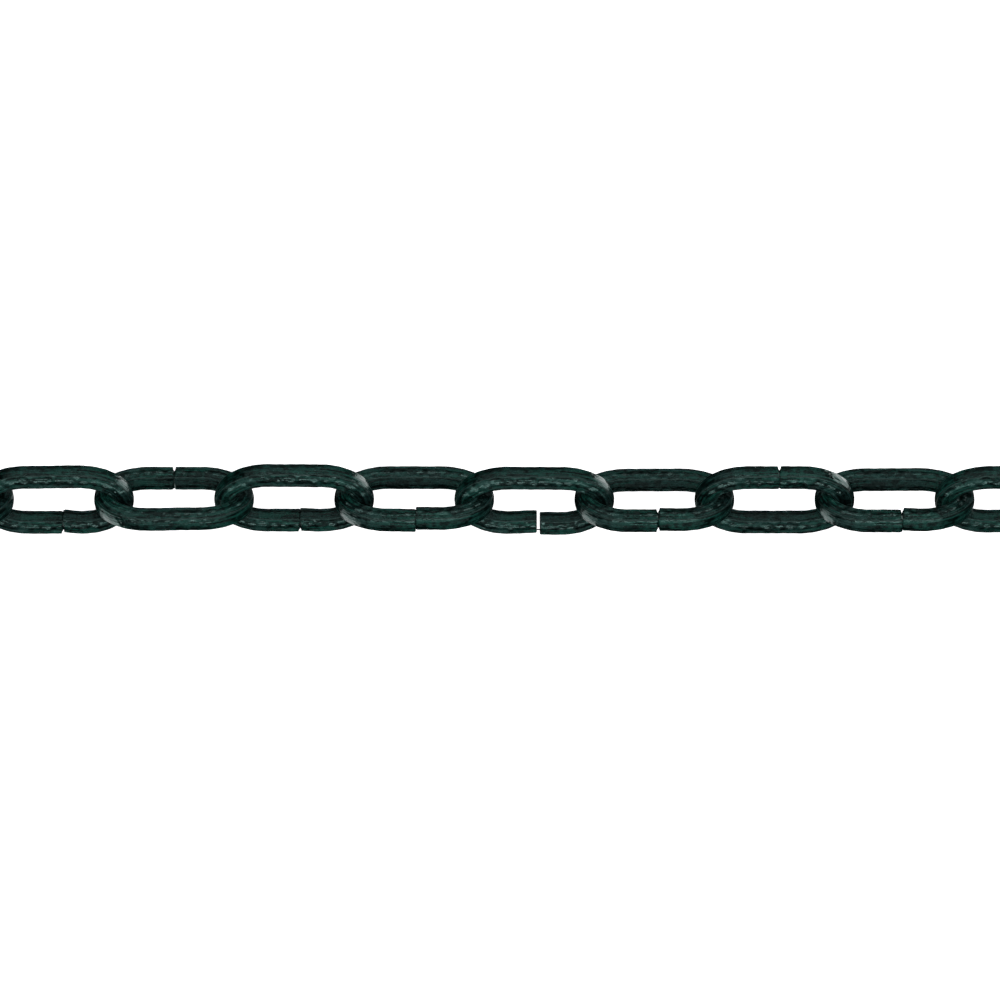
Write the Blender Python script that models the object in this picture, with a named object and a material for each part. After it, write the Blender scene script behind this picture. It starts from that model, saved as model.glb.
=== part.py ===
"""One metre of decorative chain: open links bent from hammered square bar,
pulled straight on a level floor, every link rolled 45 degrees from upright."""

import math
import random

import bpy

# Sizes in metres, angles in degrees
LINK_COUNT = 26
PITCH = 0.038
LINK_LENGTH = 0.050
LINK_WIDTH = 0.0245
BAR = 0.0053
CORNER = 0.00035
STRAIGHT = 0.0164
CROWN_FACETS = 13
THINNING = 0.05
ROLL = 45.0

# The two cut ends of a link's bar, where they nearly meet
CUT_LENGTH = 0.0008
CUT_SCALE = 0.68
CUT_GAP = 0.0004
CUT_STEP = 0.0007
CUT_OFFSET = (-0.0004, 0.0025)
SPREAD = (-0.0004, 0.0005)
SEED = 26

HALF_LINE = (LINK_LENGTH - BAR * (1 - THINNING)) / 2
HALF_WIDTH = (LINK_WIDTH - BAR) / 2
AXIS_HEIGHT = (HALF_WIDTH * math.sin(math.radians(ROLL))
               + (BAR - CORNER) / math.sqrt(2))

# Joints of the links in the middle of the length, in metres: the bar that
# holds it (-1 front, +1 back), how far it is along from the link's centre,
# the gap, and how far the left and the right end stand out from an even oval
SEEN_CUTS = {
    10: (-1, 0.0025, 0.0004, 0.0, -0.0006),
    11: (1, -0.0003, 0.0004, 0.0, 0.0),
    12: (-1, 0.0017, 0.0004, -0.0005, -0.0009),
    13: (-1, 0.0006, 0.0003, 0.0004, -0.0006),
    14: (-1, 0.0013, 0.0011, -0.0008, 0.0),
    15: (-1, 0.0010, 0.0004, 0.0005, -0.0001),
    16: (1, 0.0013, 0.0004, -0.0004, -0.0004),
    17: (-1, 0.0020, 0.0004, 0.0005, -0.0003),
}

# How far the same links' quarters stand out from an even oval, in metres:
# front left, front right, back left, back right
SEEN_SPREADS = {
    10: (0.0, 0.0, -0.0003, -0.0001),
    11: (-0.0001, -0.0004, 0.0, 0.0),
    12: (-0.0005, -0.0005, 0.0005, 0.0004),
    13: (0.0002, -0.0005, 0.0, 0.0),
    14: (-0.0005, 0.0, -0.0004, -0.0005),
    15: (0.0005, 0.0, -0.0005, -0.0004),
    16: (0.0, 0.0, -0.0004, -0.0004),
    17: (0.0005, 0.0, -0.0003, -0.0002),
}


def clear_scene():
    for obj in list(bpy.data.objects):
        bpy.data.objects.remove(obj, do_unlink=True)


def collection(name):
    made = bpy.data.collections.new(name)
    bpy.context.scene.collection.children.link(made)
    return made


def lacquer():
    """Near-black lacquer with a green cast on steel."""
    made = bpy.data.materials.new("black_green_lacquer")
    made.use_nodes = True
    made.diffuse_color = (0.012, 0.017, 0.016, 1.0)
    shader = made.node_tree.nodes["Principled BSDF"]
    shader.inputs["Base Color"].default_value = (0.012, 0.017, 0.016, 1.0)
    shader.inputs["Metallic"].default_value = 0.0
    shader.inputs["Roughness"].default_value = 0.32
    shader.inputs["Coat Weight"].default_value = 0.4
    return made


def poly_curve(name, points, radii, cyclic):
    data = bpy.data.curves.new(name, "CURVE")
    data.dimensions = "3D"
    data.twist_mode = "Z_UP"
    spline = data.splines.new("POLY")
    spline.points.add(len(points) - 1)
    for target, (x, y), radius in zip(spline.points, points, radii):
        target.co = (x, y, 0.0, 1.0)
        target.radius = radius
    spline.use_cyclic_u = cyclic
    return bpy.data.objects.new(name, data)


def bar_profile():
    """The square bar's section, its four corners broken."""
    flat, near = BAR / 2, BAR / 2 - CORNER
    corners = []
    for turn in range(4):
        c, s = round(math.cos(turn * math.pi / 2)), round(math.sin(turn * math.pi / 2))
        for x, y in ((flat, -near), (flat, near)):
            corners.append((c * x - s * y, s * x + c * y))
    return poly_curve("bar_section", corners[::-1], [1.0] * len(corners), True)


def crown(front_out, back_out):
    """Points on the bar's centre line round the right-hand crown, from the front
    bar to the back one, evenly spaced in the direction that they face, and the
    bar's scale at each. The middle facet stands at the link's full length."""
    reach = HALF_LINE - STRAIGHT / 2
    turns = []
    for i in range(CROWN_FACETS + 1):
        facing = math.pi * (i / CROWN_FACETS - 0.5)
        turns.append(math.atan2(HALF_WIDTH * math.sin(facing),
                                reach * math.cos(facing)))
    stretch = reach / math.cos(turns[CROWN_FACETS // 2])
    points, scales = [], []
    for turn in turns:
        out = front_out if turn < 0 else back_out
        points.append((STRAIGHT / 2 + stretch * math.cos(turn),
                       (HALF_WIDTH + out) * math.sin(turn)))
        scales.append(1 - THINNING * math.cos(turn) ** 2)
    return points, scales


def link_path(cut, spread):
    """The bar's centre line and its scale, from one cut end round to the other."""
    side, offset, gap, left_out, right_out = cut
    front_left, front_right, back_left, back_right = spread
    left, right = offset - gap / 2, offset + gap / 2
    left_y, right_y = side * (HALF_WIDTH + left_out), side * (HALF_WIDTH + right_out)
    right_bend, thick_right = crown(front_right, back_right)
    left_bend, thick_left = crown(front_left, back_left)
    left_bend = [(-x, y) for x, y in left_bend]
    if side < 0:
        left_bend.reverse()
    else:
        right_bend.reverse()
    points = [(right, right_y), (right + CUT_LENGTH, right_y)]
    points += right_bend + left_bend
    points += [(left - CUT_LENGTH, left_y), (left, left_y)]
    scales = [CUT_SCALE, 1.0] + thick_right + thick_left + [1.0, CUT_SCALE]
    return points, scales


def shape_of(number, on_floor, chance):
    """A link's joint and how its quarters stand. Nothing stands out further in
    the bar that lies on the floor, so that every link rests on it."""
    side = chance.choice((-1, -1, 1))
    offset = chance.uniform(*CUT_OFFSET)
    step = chance.uniform(0.0, CUT_STEP)
    left, right = (0.0, -step) if chance.random() < 0.7 else (-step, 0.0)
    spread = [chance.uniform(*SPREAD) for _ in range(4)]
    if number in SEEN_CUTS:
        return SEEN_CUTS[number], SEEN_SPREADS[number]
    on_the_floor = (0, 1) if on_floor < 0 else (2, 3)
    for quarter in on_the_floor:
        spread[quarter] = min(spread[quarter], 0.0)
    first = 0 if side < 0 else 2
    return (side, offset, CUT_GAP, spread[first] + left, spread[first + 1] + right), spread


def build():
    clear_scene()
    parts = collection("decorative_chain")
    guides = collection("guides")
    guides.hide_render = True
    finish = lacquer()

    section = bar_profile()
    section.hide_render = True
    section.display_type = "WIRE"
    guides.objects.link(section)

    chance = random.Random(SEED)
    to_pin = PITCH - HALF_LINE
    for number in range(1, LINK_COUNT + 1):
        on_floor = -1 if number % 2 == 0 else 1
        points, scales = link_path(*shape_of(number, on_floor, chance))
        points = [(x + to_pin, y) for x, y in points]
        link = poly_curve(f"link_{number:02d}", points, scales, False)
        link.data.bevel_mode = "OBJECT"
        link.data.bevel_object = section
        link.data.use_fill_caps = True
        link.data.materials.append(finish)
        centre = (number - (LINK_COUNT + 1) / 2) * PITCH
        link.location = (centre - to_pin, 0.0, AXIS_HEIGHT)
        link.rotation_euler = (math.radians(-on_floor * ROLL), 0.0, 0.0)
        parts.objects.link(link)


build()
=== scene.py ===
"""Decorative chain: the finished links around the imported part, and its stage."""

import math
import random

import bmesh
import bpy
import numpy as np
from mathutils import Matrix, Vector


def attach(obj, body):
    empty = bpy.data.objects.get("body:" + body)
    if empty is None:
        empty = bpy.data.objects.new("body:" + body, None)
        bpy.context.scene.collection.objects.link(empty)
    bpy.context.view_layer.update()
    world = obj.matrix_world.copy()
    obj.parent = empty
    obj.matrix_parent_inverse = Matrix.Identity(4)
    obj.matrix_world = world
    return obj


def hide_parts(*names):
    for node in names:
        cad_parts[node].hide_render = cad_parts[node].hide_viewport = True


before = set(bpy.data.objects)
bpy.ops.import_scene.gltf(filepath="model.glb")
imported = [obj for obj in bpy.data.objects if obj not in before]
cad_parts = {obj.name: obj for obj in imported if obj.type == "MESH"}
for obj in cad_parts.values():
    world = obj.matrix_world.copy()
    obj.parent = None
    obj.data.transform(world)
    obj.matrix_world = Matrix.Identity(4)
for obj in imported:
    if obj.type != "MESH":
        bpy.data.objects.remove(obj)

bl_info = {
    "name": "Hammered decorative chain",
    "version": (1, 0, 0),
    "blender": (4, 5, 0),
    "location": "View3D > Sidebar > Chain",
    "description": "Open links bent from hammered square bar, lacquered, on a pale floor",
    "category": "Object",
}

LINK_COUNT = len(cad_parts)

# How far each link is rolled from upright, in degrees, to either side in turn
ROLL = 45

FRONT_LEFT, FRONT_RIGHT, BACK_LEFT, BACK_RIGHT = range(4)

# A joint that is bent shut: its two ends touch
CLOSED_GAP = 0.00001

# The joints and the quarters of the links that the photo doesn't show are drawn
# by chance between these, in metres, and this share of the joints has the
# right-hand end lower than the left-hand one
CUT_OFFSET = (-0.0004, 0.0025)
CUT_STEP = 0.0007
SPREAD = (-0.0004, 0.0005)
RIGHT_END_LOW = 0.7
SHAPE_SEED = 26

# Joints of the links in the middle of the length, in metres: the bar that
# holds it (-1 front, +1 back), how far it is along from the link's centre,
# the gap, and how far the left and the right end stand out from an even oval
SEEN_CUTS = {
    10: (-1, 0.0025, CLOSED_GAP, 0.0001, -0.0005),
    11: (1, -0.0003, CLOSED_GAP, 0.0002, 0.0002),
    12: (-1, 0.0017, CLOSED_GAP, -0.0007, -0.0010),
    13: (-1, 0.0006, CLOSED_GAP, 0.0000, -0.0010),
    14: (-1, 0.0013, 0.0009, -0.0004, 0.0003),
    15: (-1, 0.0010, CLOSED_GAP, 0.0005, -0.0001),
    16: (1, 0.0013, CLOSED_GAP, -0.0004, -0.0004),
    17: (-1, 0.0020, CLOSED_GAP, 0.0006, -0.0002),
}

# How far the same links' quarters stand out from an even oval, in metres:
# front left, front right, back left, back right
SEEN_SPREADS = {
    10: (0.0001, 0.0001, -0.0004, -0.0002),
    11: (-0.0003, -0.0006, 0.0002, 0.0002),
    12: (-0.0007, -0.0007, 0.0005, 0.0004),
    13: (-0.0002, -0.0009, 0.0003, 0.0003),
    14: (0.0, 0.0004, -0.0009, -0.0010),
    15: (0.0005, 0.0, -0.0005, -0.0004),
    16: (0.0001, 0.0001, -0.0004, -0.0004),
    17: (0.0006, 0.0001, -0.0003, -0.0002),
}

# How far some of them lie flatter than the rest, in degrees
SEEN_FLATTER = {10: 1.0, 11: 1.0, 13: 2.0, 14: 2.0}

# The notches that the cutters left in the same joints, in metres: how deep
# at the bar's back corner and at its front corner
SEEN_NOTCHES = {
    10: (0.0002, 0.0011), 11: (0.0013, 0.0004), 12: (0.0001, 0.0009), 13: (0.0001, 0.0001),
    14: (0.0001, 0.0001), 15: (0.0012, 0.0011), 16: (0.0013, 0.0002), 17: (0.0012, 0.0002),
}

# The other joints' notches, as shares of the deepest. A notch is blunt along
# the bar and dies away from its corner to the bar's middle: the powers of both
NOTCH_RANGE = (0.1, 1.0)
NOTCH_BLUNTNESS = 0.3
NOTCH_FALLOFF = 1.5

# The groove round a joint is this deep for each unit of its width
GROOVE_DEPTH = 0.5

# The link that stands open has a thread of lacquer across its gap: its place
# across the bar, outwards and up from the middle, its radius, and how far it
# reaches into the gap's two ends together, in metres
THREAD_LINK = 14
THREAD_PLACE = (0.0009, 0.0025)
THREAD_RADIUS = 0.0002
THREAD_HOLD = 4 * THREAD_RADIUS
THREAD_SIDES = 8

# Points along the middle line of a straight side and of a crown
SIDE_POINTS = 80
CROWN_POINTS = 160

# The divisions crowd together at a bar's ends: share of the divisions, distance
END_DISTANCES = [0.0, 0.0007, 0.0016]
END_SHARES = [0.0, 0.02, 0.025, 0.975, 0.98, 1.0]
CORNER_SEGMENTS = 3

# Coordinates of the straight bar that differ by less than this are the same
SAME = 1e-7

# The two rows of hammer marks are staggered by half a mark. Within a row the
# marks differ by chance: how far one strays along the bar, its row's distance
# from the middle, half its length, half its width, how far it leans, and its
# depth as a share of the deepest
ROW_STARTS = {-1: 0.75, 1: 0.25}
MARK_STRAY = 0.18
MARK_ROW = (0.42, 0.58)
MARK_HALF_LONG = (0.52, 0.68)
MARK_HALF_WIDE = (0.55, 0.75)
MARK_LEAN = 0.12
MARK_DEPTH = (0.6, 1.0)
MARK_SEED_STEP = 97

# The share of a mark's depth that reaches the bar's corner
CORNER_SHARE = 0.35

# The edges' waves: the second's length in hammer marks, the third's in metres,
# and the three's shares of the height
SECOND_WAVE = 2.7
THIRD_WAVE = 0.021
WAVE_SHARES = (0.4, 0.35, 0.25)

# Faces that meet at less than this many degrees are shaded as one
SMOOTH_UNDER = 50


def linear(hex_colour):
    """An sRGB hex colour as Blender's linear RGBA."""
    values = [int(hex_colour[i:i + 2], 16) / 255 for i in (1, 3, 5)]
    return [v / 12.92 if v <= 0.04045 else ((v + 0.055) / 1.055) ** 2.4
            for v in values] + [1.0]


def add_node(tree, kind, links=None, **settings):
    """Adds a node with its settings and its links. A setting whose name is an
    input's, with spaces as underscores, sets that input."""
    node = tree.nodes.new(kind)
    inputs = {}
    for name, value in settings.items():
        if hasattr(node, name):
            setattr(node, name, value)
        else:
            inputs[name.replace("_", " ")] = value
    for name, value in inputs.items():
        node.inputs[name].default_value = value
    for target, source in (links or {}).items():
        tree.links.new(source, node.inputs[target])
    return node


def per_metre(millimetres):
    """A noise texture's scale whose lumps lie this far apart."""
    return 1000.0 / millimetres


# The bar and how it is bent

def half_width(sizes):
    """From the middle of a link to the middle of either long side."""
    return (sizes.link_width - sizes.bar) / 2


def link_shape(number, chance):
    """A link's joint and how its quarters stand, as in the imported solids."""
    on_floor = -1 if number % 2 == 0 else 1
    side = chance.choice((-1, -1, 1))
    offset = chance.uniform(*CUT_OFFSET)
    step = chance.uniform(0.0, CUT_STEP)
    left, right = (0.0, -step) if chance.random() < RIGHT_END_LOW else (-step, 0.0)
    spread = [chance.uniform(*SPREAD) for _ in range(4)]
    if number in SEEN_CUTS:
        return SEEN_CUTS[number], SEEN_SPREADS[number]
    resting = (FRONT_LEFT, FRONT_RIGHT) if on_floor < 0 else (BACK_LEFT, BACK_RIGHT)
    for quarter in resting:
        spread[quarter] = min(spread[quarter], 0.0)
    first = FRONT_LEFT if side < 0 else BACK_LEFT
    return (side, offset, CLOSED_GAP, spread[first] + left, spread[first + 1] + right), spread


class BentLine:
    """The line that the middle of one link's bar follows, from its right-hand
    cut end round the right crown, the other bar and the left crown to its
    left-hand cut end, in the link's own plane."""

    def __init__(self, sizes, cut, spread):
        side, offset, gap, left_out, right_out = cut
        self.half_width = half_width(sizes)
        self.flat = sizes.straight / 2
        self.reach = (sizes.link_length - sizes.bar * (1 - sizes.thinning)) / 2 - self.flat
        self.thinning = sizes.thinning
        right, left = offset + gap / 2, offset - gap / 2
        near = (FRONT_LEFT, FRONT_RIGHT) if side < 0 else (BACK_LEFT, BACK_RIGHT)
        far = (BACK_LEFT, BACK_RIGHT) if side < 0 else (FRONT_LEFT, FRONT_RIGHT)
        flat, half_side = self.flat, SIDE_POINTS // 2
        runs = (self.run(right, right_out, flat, spread[near[1]], side, half_side),
                self.crown(1, spread[near[1]], spread[far[1]], side),
                self.run(flat, spread[far[1]], -flat, spread[far[0]], -side, SIDE_POINTS),
                self.crown(-1, spread[far[0]], spread[near[0]], -side),
                self.run(-flat, spread[near[0]], left, left_out, side, half_side),
                [(left, side * (self.half_width + left_out), 1.0)])
        points = np.array([point for part in runs for point in part])
        self.points = points[:, :2]
        self.thin = points[:, 2]
        steps = np.linalg.norm(np.diff(self.points, axis=0), axis=1)
        self.along = np.r_[0.0, np.cumsum(steps)]
        self.length = self.along[-1]
        tangent = np.gradient(self.points, self.along, axis=0)
        tangent /= np.linalg.norm(tangent, axis=1)[:, None]
        self.outward = np.c_[tangent[:, 1], -tangent[:, 0]] * -side

    def run(self, x0, out0, x1, out1, sign, count):
        """A side's middle line, which drifts smoothly from one distance to another."""
        points = []
        for i in range(count):
            t = i / count
            ease = t * t * (3 - 2 * t)
            points.append((x0 + (x1 - x0) * t,
                           sign * (self.half_width + out0 + (out1 - out0) * ease), 1.0))
        return points

    def crown(self, hand, first, last, sign):
        """A crown's middle line, half an oval, and the bar's thinning along it."""
        points = []
        for i in range(CROWN_POINTS):
            turn = math.pi * (0.5 - i / CROWN_POINTS) * sign
            out = first if i < CROWN_POINTS / 2 else last
            points.append((hand * (self.flat + self.reach * math.cos(turn)),
                           (self.half_width + out) * math.sin(turn),
                           1 - self.thinning * math.cos(turn) ** 2))
        return points

    def at(self, s):
        """Middle, outward direction and thinning at the distances s."""
        middle = np.c_[[np.interp(s, self.along, self.points[:, i]) for i in (0, 1)]].T
        outward = np.c_[[np.interp(s, self.along, self.outward[:, i]) for i in (0, 1)]].T
        outward /= np.linalg.norm(outward, axis=1)[:, None]
        return middle, outward, np.interp(s, self.along, self.thin)


def apart(edge, axis):
    """How far apart an edge's two ends are along an axis."""
    return abs(edge.verts[0].co[axis] - edge.verts[1].co[axis])


def straight_bar(sizes):
    """One cut length of square bar with rounded corners, one unit long on X,
    divided finely enough to take the hammer marks and the bends."""
    bm = bmesh.new()
    bmesh.ops.create_cube(bm, size=1.0)
    bmesh.ops.scale(bm, vec=(1.0, sizes.bar, sizes.bar), verts=bm.verts)
    corners = [e for e in bm.edges if apart(e, 0) > 0.5]
    bmesh.ops.bevel(bm, geom=corners, offset=sizes.corner, offset_type="OFFSET",
                    segments=CORNER_SEGMENTS, profile=0.5, affect="EDGES", material=-1)

    def across(axis):
        """The edges at the bar's ends that span the flats facing along axis."""
        ends = [f for f in bm.faces if abs(f.normal.x) > 0.9]
        return [e for f in ends for e in f.edges
                if apart(e, axis) < SAME and apart(e, 0) < SAME
                and abs(abs(e.verts[0].co[axis]) - sizes.bar / 2) < SAME]

    hammered, smooth = across(2), across(1)
    bmesh.ops.subdivide_edges(bm, edges=hammered, cuts=sizes.rows - 1, use_grid_fill=False)
    bmesh.ops.subdivide_edges(bm, edges=smooth, cuts=sizes.rows // 2 - 1, use_grid_fill=False)
    lengthwise = [e for e in bm.edges if apart(e, 0) > 0.5]
    bmesh.ops.subdivide_edges(bm, edges=lengthwise, cuts=sizes.rings - 1, use_grid_fill=False)
    return bm


def hammer_depth(sizes, s, across, length, chance):
    """How deep the hammer left the face at the distances s along and across it:
    two staggered rows of oval dents, in fractions of a whole dent."""
    count = round(length / sizes.dent_length)
    deepest = np.zeros_like(s)
    for row, start in ROW_STARTS.items():
        for i in range(-1, count + 2):
            middle = (i + start) * length / count
            middle += chance.uniform(-MARK_STRAY, MARK_STRAY) * sizes.dent_length
            aside = row * sizes.dent_width * chance.uniform(*MARK_ROW)
            half_long = sizes.dent_length * chance.uniform(*MARK_HALF_LONG)
            half_wide = sizes.dent_width * chance.uniform(*MARK_HALF_WIDE)
            lean = chance.uniform(-MARK_LEAN, MARK_LEAN)
            depth = chance.uniform(*MARK_DEPTH)
            close = np.abs(s - middle) < half_long
            along = s[close] - middle
            off = across[close] - aside - lean * along
            distance = (along / half_long) ** 2 + (off / half_wide) ** 2
            deepest[close] = np.maximum(deepest[close], depth * (1 - distance))
    return deepest


class WorkedBar:
    """One link's bar as it is worked, point by point: how far along the bar
    each point lies, and how far outwards and up from the bar's middle."""

    def __init__(self, sizes, bm, line):
        self.sizes = sizes
        self.half = sizes.bar / 2
        self.length = line.length
        self.place = np.array([v.co for v in bm.verts])
        ends = END_DISTANCES + [self.length - d for d in reversed(END_DISTANCES)]
        self.s = np.interp(self.place[:, 0] + 0.5, END_SHARES, ends)
        self.out = self.place[:, 1].copy()
        self.up = self.place[:, 2].copy()
        self.middle, self.outward, self.thin = line.at(self.s)
        self.bending = (1 - self.thin) / sizes.thinning

    def beside(self, axis, way):
        """The points on the face on that side and on the corners beside it."""
        return self.place[:, axis] * way > self.half - self.sizes.corner * 1.01

    def round_faces(self):
        """Rolling and hammering leave all four faces a little round."""
        flat = self.half - self.sizes.corner
        for value, other in ((self.up, self.place[:, 1]), (self.out, self.place[:, 2])):
            near = np.abs(value) > self.half * 0.999
            value[near] += (np.sign(value[near]) * self.sizes.crowning
                            * (1 - (other[near] / flat) ** 2))

    def hammer(self, marks):
        """Blows on two of the faces and, more softly, on the corners beside them."""
        for face in (-1, 1):
            near = self.beside(2, face)
            out = self.out[near]
            depth = hammer_depth(self.sizes, self.s[near], out, self.length, marks)
            edge = np.clip((self.half - np.abs(out)) / self.sizes.corner, 0.0, 1.0)
            share = CORNER_SHARE + (1 - CORNER_SHARE) * edge
            self.up[near] -= face * self.sizes.dent_depth * depth * share

    def spread_edges(self, marks):
        """The blows spread the straight sides, and the edges run a little wavy."""
        sizes = self.sizes
        periods = (sizes.dent_length, sizes.dent_length * SECOND_WAVE, THIRD_WAVE)
        for side in (-1, 1):
            for face in (-1, 1):
                phase = [marks.uniform(0, math.tau) for _ in periods]
                wave = sum(np.sin(self.s * math.tau / period + p) * share
                           for period, p, share in zip(periods, phase, WAVE_SHARES))
                near = self.beside(1, side) & self.beside(2, face)
                self.out[near] += side * (sizes.edge_wave * wave[near]
                                          + sizes.edge_spread * (1 - self.bending[near]))

    def pinch_ends(self, number, side, marks):
        """The cutters' notches at both ends, and a shallow groove right round
        them. Returns how far into the groove each point lies, from 0 to 1."""
        from_end = np.minimum(self.s, self.length - self.s)
        notch = np.clip(1 - from_end / self.sizes.notch_length, 0.0, 1.0) ** NOTCH_BLUNTNESS
        usual = [marks.uniform(*NOTCH_RANGE) * self.sizes.notch_depth for _ in range(2)]
        back = np.array((side, 1 if number % 2 else -1)) / math.sqrt(2)
        for way, depth in zip((1, -1), SEEN_NOTCHES.get(number, usual)):
            reach = way * (self.out * back[0] + self.up * back[1]) / (self.half * math.sqrt(2))
            taken = way * depth * notch * np.clip(reach, 0.0, 1.0) ** NOTCH_FALLOFF
            self.out -= back[0] * taken
            self.up -= back[1] * taken
        groove = np.clip(1 - from_end / self.sizes.groove, 0.0, 1.0)
        kept = 1 - self.sizes.groove * GROOVE_DEPTH * groove / self.half
        self.out *= kept
        self.up *= kept
        return groove

    def bent(self):
        """Every point's place in the link's own plane. Bending draws the bar thin
        on the outside of the crowns and upsets it inside."""
        sizes = self.sizes
        inside = np.clip(0.5 - self.out / sizes.bar, 0.0, 1.0) * self.bending
        out = self.out * self.thin - sizes.upset * inside
        up = self.up * (1 - sizes.thinning * self.bending * (1 - inside))
        up *= 1 + sizes.upset / self.half * inside
        return np.c_[self.middle + self.outward * out[:, None], up]


def add_thread(bm, sizes, cut):
    """Draws the thread of lacquer across an open joint, and returns its points."""
    side, offset, gap, left_out, right_out = cut
    across = side * (half_width(sizes) + (left_out + right_out) / 2 + THREAD_PLACE[0])
    return bmesh.ops.create_cone(
        bm, cap_ends=True, segments=THREAD_SIDES, radius1=THREAD_RADIUS, radius2=THREAD_RADIUS,
        depth=gap + THREAD_HOLD,
        matrix=Matrix.Translation((offset, across, THREAD_PLACE[1]))
        @ Matrix.Rotation(math.radians(90), 4, "Y"))["verts"]


def lay(bm, sizes, number):
    """Rolls a link to its side and lays it in its place along the chain."""
    height = half_width(sizes) * math.sin(math.radians(ROLL)) + sizes.seat_height
    roll = ROLL - SEEN_FLATTER.get(number, 0.0)
    roll *= 1 if number % 2 == 0 else -1
    centre = (number - (LINK_COUNT + 1) / 2) * sizes.pitch
    bmesh.ops.transform(bm, matrix=Matrix.Translation((centre, 0.0, height))
                        @ Matrix.Rotation(math.radians(roll), 4, "X"), verts=bm.verts)


def finish_link(sizes, number, chance, material):
    """Hammers a straight bar, pinches its ends, bends it round and lays it. The
    mesh keeps where each point lay on the straight bar, for the lacquer."""
    cut, spread = link_shape(number, chance)
    marks = random.Random(number * MARK_SEED_STEP + sizes.seed)
    bm = straight_bar(sizes)
    bar = WorkedBar(sizes, bm, BentLine(sizes, cut, spread))
    bar.round_faces()
    bar.hammer(marks)
    bar.spread_edges(marks)
    groove = bar.pinch_ends(number, cut[0], marks)
    straight_place = np.c_[bar.s, bar.place[:, 1:]]
    for vert, co in zip(bm.verts, bar.bent()):
        vert.co = co
    if number == THREAD_LINK:
        thread = add_thread(bm, sizes, cut)
        straight_place = np.r_[straight_place, np.zeros((len(thread), 3))]
        groove = np.r_[groove, np.ones(len(thread))]
    lay(bm, sizes, number)
    bmesh.ops.recalc_face_normals(bm, faces=bm.faces)
    mesh = bpy.data.meshes.new(f"hammered_link_{number:02d}")
    bm.to_mesh(mesh)
    bm.free()
    spot = mesh.attributes.new("bar_place", "FLOAT_VECTOR", "POINT")
    spot.data.foreach_set("vector", straight_place.astype(np.float32).ravel())
    # how far into a joint's groove each point lies, where the lacquer is painted with shade
    joint_shade_mask = mesh.attributes.new("joint_shade_mask", "FLOAT", "POINT")
    joint_shade_mask.data.foreach_set("value", groove.astype(np.float32))
    mesh.shade_smooth()
    mesh.set_sharp_from_angle(angle=math.radians(SMOOTH_UNDER))
    mesh.materials.append(material)
    link = bpy.data.objects.new(f"hammered_link_{number:02d}", mesh)
    bpy.context.scene.collection.objects.link(link)
    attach(link, f"link_{number:02d}")
    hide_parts(f"link_{number:02d}")


# The lacquer's patterns, from one lump or line to the next, in millimetres: where
# it pooled thick and thin, how its cast changes, its own unevenness, and the
# lines that rolling and drawing left along the bar, with their length
POOLS_APART = 2.0
CASTS_APART = 16.0
GRAIN_APART = 1.4
LINES_APART = 0.6
LINES_LONG = 8.0

# Both reliefs are deeper than real ones, in metres, so that they show in a
# picture of a third of the chain
LINES_DEPTH = 0.00014
GRAIN_DEPTH = 0.0002

# Roughness on the bar's corners and in the joints, where the lacquer is dull
DULL = 0.5


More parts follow.
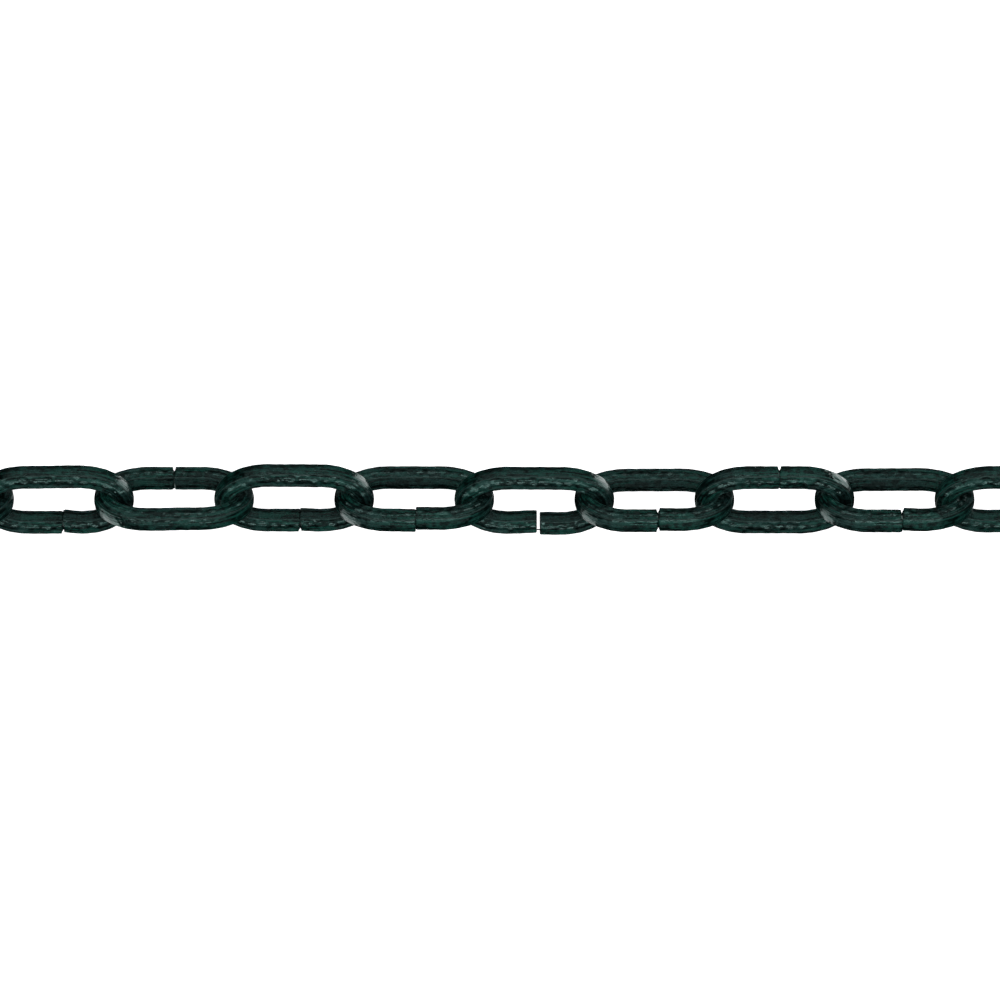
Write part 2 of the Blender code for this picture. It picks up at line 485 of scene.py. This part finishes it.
def lacquered_steel(sizes, colours):
    """Near-black lacquer with a green cast, brushed over hammered steel: a dark body under a
    clear, slightly uneven gloss that mirrors a pale room dimly. Painted shade darkens the body
    on the bar's corners and in the joints."""
    made = bpy.data.materials.new("lacquered_hammered_steel")
    made.use_nodes = True
    tree = made.node_tree
    shader = tree.nodes["Principled BSDF"]
    place = add_node(tree, "ShaderNodeAttribute", attribute_name="bar_place")
    mottle = add_node(tree, "ShaderNodeTexNoise", {"Vector": place.outputs["Vector"]},
                      Scale=per_metre(POOLS_APART), Detail=3.0, Roughness=0.6)
    cast = add_node(tree, "ShaderNodeTexNoise", {"Vector": place.outputs["Vector"]},
                    Scale=per_metre(CASTS_APART), Detail=2.0, Roughness=0.5)
    stretch = add_node(tree, "ShaderNodeVectorMath", {0: place.outputs["Vector"]},
                       operation="MULTIPLY")
    stretch.inputs[1].default_value = (LINES_APART / LINES_LONG, 1.0, 1.0)
    lines = add_node(tree, "ShaderNodeTexNoise", {"Vector": stretch.outputs["Vector"]},
                     Scale=per_metre(LINES_APART), Detail=1.0, Roughness=0.4)
    grain = add_node(tree, "ShaderNodeTexNoise", {"Vector": place.outputs["Vector"]},
                     Scale=per_metre(GRAIN_APART), Detail=1.0, Roughness=0.4)
    # the body's colour: dark where the lacquer is thick, else green or grey
    cover = add_node(tree, "ShaderNodeMath", {0: mottle.outputs["Fac"], 1: lines.outputs["Fac"]},
                     operation="ADD")
    spread = add_node(tree, "ShaderNodeMapRange", {"Value": cover.outputs["Value"]},
                      From_Min=0.88, From_Max=1.14)
    tint = add_node(tree, "ShaderNodeMapRange", {"Value": cast.outputs["Fac"]},
                    From_Min=0.4, From_Max=0.6)
    thin = add_node(tree, "ShaderNodeMix", {"Factor": tint.outputs["Result"]}, data_type="RGBA")
    thin.inputs["A"].default_value = colours.thin_green
    thin.inputs["B"].default_value = colours.thin_grey
    body = add_node(tree, "ShaderNodeMix", {"Factor": spread.outputs["Result"],
                                            "B": thin.outputs["Result"]}, data_type="RGBA")
    body.inputs["A"].default_value = colours.thick
    # painted shade: the body is painted darkest on the bar's four corners, for their dark
    # outlines, and in the joints' grooves
    parts = add_node(tree, "ShaderNodeSeparateXYZ", {"Vector": place.outputs["Vector"]})
    sides = [add_node(tree, "ShaderNodeMath", {0: parts.outputs[axis]}, operation="ABSOLUTE")
             for axis in ("Y", "Z")]
    corner = add_node(tree, "ShaderNodeMath", {i: side.outputs["Value"] for i, side in
                                               enumerate(sides)}, operation="MINIMUM")
    corner_shade_mask = add_node(tree, "ShaderNodeMapRange", {"Value": corner.outputs["Value"]},
                         From_Min=sizes.bar / 2 - 1.2 * sizes.corner,
                         From_Max=sizes.bar / 2 - 0.4 * sizes.corner)
    joint = add_node(tree, "ShaderNodeAttribute", attribute_name="joint_shade_mask")
    dark = add_node(tree, "ShaderNodeMath", {0: corner_shade_mask.outputs["Result"],
                                             1: joint.outputs["Fac"]}, operation="MAXIMUM")
    body_with_painted_shade = add_node(tree, "ShaderNodeMix", {"Factor": dark.outputs["Value"],
                                              "A": body.outputs["Result"]}, data_type="RGBA")
    body_with_painted_shade.inputs["B"].default_value = colours.corner
    tree.links.new(body_with_painted_shade.outputs["Result"], shader.inputs["Base Color"])
    # the gloss is smoothest where the lacquer is thick
    gloss = add_node(tree, "ShaderNodeMapRange", {"Value": cover.outputs["Value"]},
                     From_Min=0.8, From_Max=1.2, To_Min=0.10, To_Max=0.28)
    sheen = add_node(tree, "ShaderNodeMix", {"Factor": dark.outputs["Value"],
                                             "A": gloss.outputs["Result"]}, B=DULL)
    tree.links.new(sheen.outputs["Result"], shader.inputs["Roughness"])
    first = add_node(tree, "ShaderNodeBump", {"Height": lines.outputs["Fac"]},
                     Strength=1.0, Distance=LINES_DEPTH)
    second = add_node(tree, "ShaderNodeBump", {"Height": grain.outputs["Fac"],
                                               "Normal": first.outputs["Normal"]},
                      Strength=1.0, Distance=GRAIN_DEPTH)
    tree.links.new(second.outputs["Normal"], shader.inputs["Normal"])
    shader.inputs["Metallic"].default_value = 0.0
    shader.inputs["IOR"].default_value = 1.5
    shader.inputs["Specular Tint"].default_value = colours.gloss
    return made


# The add-on

class ChainSizes(bpy.types.PropertyGroup):
    pitch: bpy.props.FloatProperty(
        name="Pitch", description="From one link's centre to the next",
        default=0.038, unit="LENGTH", precision=4)
    link_length: bpy.props.FloatProperty(
        name="Link length", description="Outside length of a link",
        default=0.050, unit="LENGTH", precision=4)
    link_width: bpy.props.FloatProperty(
        name="Link width", description="Outside width of a link",
        default=0.0245, unit="LENGTH", precision=4)
    bar: bpy.props.FloatProperty(
        name="Bar", description="Side of the square bar",
        default=0.0053, unit="LENGTH", precision=4)
    corner: bpy.props.FloatProperty(
        name="Corner radius", description="Radius of the bar's four corners",
        default=0.0004, unit="LENGTH", precision=4)
    straight: bpy.props.FloatProperty(
        name="Straight", description="Length of a link's straight sides",
        default=0.0164, unit="LENGTH", precision=4)
    thinning: bpy.props.FloatProperty(
        name="Thinning", description="Share of its size that the bar loses at the crowns",
        default=0.05, subtype="FACTOR")
    upset: bpy.props.FloatProperty(
        name="Upset", description="How far the inside of a crown swells from bending",
        default=0.00018, unit="LENGTH", precision=5)
    seat_height: bpy.props.FloatProperty(
        name="Seat height", description="From the floor to the middle of the low bar",
        default=0.00359, unit="LENGTH", precision=5)
    dent_length: bpy.props.FloatProperty(
        name="Dent length", description="From one hammer mark to the next along the bar",
        default=0.0037, unit="LENGTH", precision=4)
    dent_width: bpy.props.FloatProperty(
        name="Dent width", description="From one row of hammer marks to the other",
        default=0.0021, unit="LENGTH", precision=4)
    dent_depth: bpy.props.FloatProperty(
        name="Dent depth", description="Depth of the deepest hammer marks",
        default=0.00040, unit="LENGTH", precision=5)
    crowning: bpy.props.FloatProperty(
        name="Crowning", description="How far the middle of a face stands above its edges",
        default=0.00033, unit="LENGTH", precision=5)
    edge_wave: bpy.props.FloatProperty(
        name="Edge wave", description="How far the hammered edges stray from straight",
        default=0.00008, unit="LENGTH", precision=5)
    edge_spread: bpy.props.FloatProperty(
        name="Edge spread", description="How far the blows spread the straight sides' edges",
        default=0.0001, unit="LENGTH", precision=5)
    notch_length: bpy.props.FloatProperty(
        name="Notch length", description="Length of the cutters' bevel on a cut end",
        default=0.0004, unit="LENGTH", precision=5)
    notch_depth: bpy.props.FloatProperty(
        name="Notch depth", description="Depth of the cutters' deepest bevel on a cut end",
        default=0.0013, unit="LENGTH", precision=4)
    groove: bpy.props.FloatProperty(
        name="Joint groove", description="Width of the groove round a joint on each end",
        default=0.0002, unit="LENGTH", precision=5)
    rows: bpy.props.IntProperty(
        name="Rows", description="Strips across a hammered face", default=12)
    rings: bpy.props.IntProperty(
        name="Rings", description="Divisions along a link's bar", default=300)
    seed: bpy.props.IntProperty(
        name="Seed", description="Seed of the hammer marks", default=5)


def colour_property(name, description, hex_colour):
    return bpy.props.FloatVectorProperty(
        name=name, description=description, subtype="COLOR", size=4,
        min=0.0, max=1.0, default=linear(hex_colour))


class LacquerColours(bpy.types.PropertyGroup):
    thick: colour_property(
        "Thick lacquer", "The body where the lacquer lies thick", "#050f0e")
    thin_green: colour_property(
        "Thin lacquer, green", "The body where the lacquer is thin and greenest", "#16423a")
    thin_grey: colour_property(
        "Thin lacquer, grey", "The body where the lacquer is thin and greyest", "#1b3331")
    # painted shade: this dark colour on the corners and in the joints stands in for shade
    corner: colour_property(
        "Corners", "The body on the bar's corners and in the joints", "#020907")
    gloss: colour_property(
        "Gloss", "What the gloss does to what it mirrors", "#cbfff7")


class StageSettings(bpy.types.PropertyGroup):
    floor_colour: colour_property("Floor colour", "The pale floor's colour", "#f4f4f4")


class CHAIN_OT_links(bpy.types.Operator):
    """Make the finished links from hammered bar"""
    bl_idname = "chain.links"
    bl_label = "Links"

    def execute(self, context):
        sizes = context.scene.chain_sizes
        material = lacquered_steel(sizes, context.scene.chain_colours)
        chance = random.Random(SHAPE_SEED)
        for number in range(1, LINK_COUNT + 1):
            finish_link(sizes, number, chance, material)
        return {"FINISHED"}


class CHAIN_OT_stage(bpy.types.Operator):
    """Set up the pale floor, the soft light and the camera"""
    bl_idname = "chain.stage"
    bl_label = "Stage"

    def execute(self, context):
        scene = context.scene
        add_floor(scene)
        add_backdrop(scene)
        for name, (toward, size, power) in LIGHTS.items():
            add_light(scene, name, toward, size, power)
        add_camera(scene)
        return {"FINISHED"}


class CHAIN_PT_panel(bpy.types.Panel):
    bl_label = "Decorative chain"
    bl_idname = "CHAIN_PT_panel"
    bl_space_type = "VIEW_3D"
    bl_region_type = "UI"
    bl_category = "Chain"

    def draw(self, context):
        for settings in (context.scene.chain_sizes, context.scene.chain_colours,
                         context.scene.chain_stage):
            for name in settings.__annotations__:
                self.layout.prop(settings, name)
        self.layout.operator("chain.links")
        self.layout.operator("chain.stage")


CLASSES = (ChainSizes, LacquerColours, StageSettings, CHAIN_OT_links, CHAIN_OT_stage,
           CHAIN_PT_panel)


# The studio's soft lights: direction from the chain, width and height in
# metres, and power in watts. Three of them stand below the floor, which lets
# them through. The two strong ones give the crowns the pale streaks that a chain
# shows when it hangs clear of its backdrop.
LIGHTS = {
    "back_floor": ((0.0, 1.0, -0.21), (1.6, 0.15), 0.15),
    "back_level": ((0.0, 1.0, 0.05), (1.6, 0.15), 0.45),
    "back_low": ((0.0, 1.0, 0.3), (1.6, 0.15), 0.5),
    "back_mid": ((0.0, 1.0, 0.7), (1.6, 0.15), 2.8),
    "back_high": ((0.0, 1.0, 1.4), (1.6, 0.15), 3.0),
    "front_level": ((0.0, -1.0, 0.05), (1.6, 0.15), 0.35),
    "front_low": ((0.0, -1.0, 0.3), (1.6, 0.15), 0.45),
    "front_mid": ((0.0, -1.0, 0.7), (1.6, 0.15), 4.5),
    "front_high": ((0.0, -1.0, 1.4), (1.6, 0.15), 3.0),
    "overhead": ((0.0, 0.0, 1.0), (1.6, 0.06), 4.5),
    "right": ((1.0, 0.0, 0.6), (0.8, 0.8), 1.0),
    "left": ((-1.0, 0.0, 0.6), (0.8, 0.8), 0.5),
    "right_back_below": ((0.67, 0.52, -0.53), (0.6, 1.2), 5.0),
    "left_front_below": ((-0.67, -0.52, -0.53), (0.6, 1.2), 4.2),
}
LIGHT_DISTANCE = 1.2

# The floor lies just under the lowest hammered edge
FLOOR_HEIGHT = -0.0002
FLOOR_SIZE = 8.0

# The photo looks down a little from the front, square to the chain; its width
# spans this much of the chain
CAMERA_ELEVATION = 87.0
CAMERA_DISTANCE = 2.0
CAMERA_TARGET = (0.00815, -0.00023, 0.0103)
SPAN = 0.3165
SENSOR_WIDTH = 36.0


def pale_paint(colour):
    """Flat white wall paint, rolled on: even and without gleam. It also glows, and
    so stays as white as the backdrop whatever light falls on it."""
    made = bpy.data.materials.new("pale_floor_paint")
    made.use_nodes = True
    shader = made.node_tree.nodes["Principled BSDF"]
    shader.inputs["Base Color"].default_value = colour
    shader.inputs["Roughness"].default_value = 0.9
    shader.inputs["Emission Color"].default_value = (1.0, 1.0, 1.0, 1.0)
    shader.inputs["Emission Strength"].default_value = 1.0
    return made


def add_floor(scene):
    """The pale floor, which light passes through and no gloss mirrors."""
    bm = bmesh.new()
    bmesh.ops.create_grid(bm, x_segments=1, y_segments=1, size=FLOOR_SIZE / 2)
    bmesh.ops.translate(bm, vec=(0.0, 0.0, FLOOR_HEIGHT), verts=bm.verts)
    mesh = bpy.data.meshes.new("pale_floor")
    bm.to_mesh(mesh)
    bm.free()
    mesh.materials.append(pale_paint(scene.chain_stage.floor_colour))
    floor = bpy.data.objects.new("pale_floor", mesh)
    scene.collection.objects.link(floor)
    floor.visible_glossy = False
    floor.visible_diffuse = False
    floor.visible_shadow = False


def add_backdrop(scene):
    """Beyond the floor the studio is as pale, and lights nothing."""
    world = bpy.data.worlds.new("studio")
    world.use_nodes = True
    world.node_tree.nodes["Background"].inputs["Color"].default_value = (1.0, 1.0, 1.0, 1.0)
    world.cycles_visibility.diffuse = False
    world.cycles_visibility.glossy = False
    scene.world = world
    scene.view_settings.view_transform = "Standard"


def add_light(scene, name, toward, size, power):
    """A soft rectangular light in the direction toward, facing the chain."""
    data = bpy.data.lights.new(name, "AREA")
    data.shape = "RECTANGLE"
    data.size, data.size_y = size
    data.energy = power
    light = bpy.data.objects.new(name, data)
    direction = Vector(toward).normalized()
    light.location = direction * LIGHT_DISTANCE
    light.rotation_euler = direction.to_track_quat("Z", "Y").to_euler()
    light.visible_camera = False
    scene.collection.objects.link(light)


def add_camera(scene):
    """The photo's view, square to the chain."""
    camera = bpy.data.objects.new("camera", bpy.data.cameras.new("camera"))
    scene.collection.objects.link(camera)
    elevation = math.radians(CAMERA_ELEVATION)
    direction = Vector((0.0, -math.cos(elevation), math.sin(elevation)))
    camera.location = Vector(CAMERA_TARGET) + direction * CAMERA_DISTANCE
    camera.rotation_euler = direction.to_track_quat("Z", "Y").to_euler()
    camera.data.sensor_width = SENSOR_WIDTH
    camera.data.lens = SENSOR_WIDTH * CAMERA_DISTANCE / SPAN
    camera.data.clip_start = 0.1
    scene.camera = camera


def register():
    for cls in CLASSES:
        bpy.utils.register_class(cls)
    bpy.types.Scene.chain_sizes = bpy.props.PointerProperty(type=ChainSizes)
    bpy.types.Scene.chain_colours = bpy.props.PointerProperty(type=LacquerColours)
    bpy.types.Scene.chain_stage = bpy.props.PointerProperty(type=StageSettings)


def unregister():
    del bpy.types.Scene.chain_stage
    del bpy.types.Scene.chain_colours
    del bpy.types.Scene.chain_sizes
    for cls in reversed(CLASSES):
        bpy.utils.unregister_class(cls)


def main():
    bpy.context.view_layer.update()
    register()
    bpy.ops.chain.links()
    bpy.ops.chain.stage()


if __name__ == "__main__":
    main()
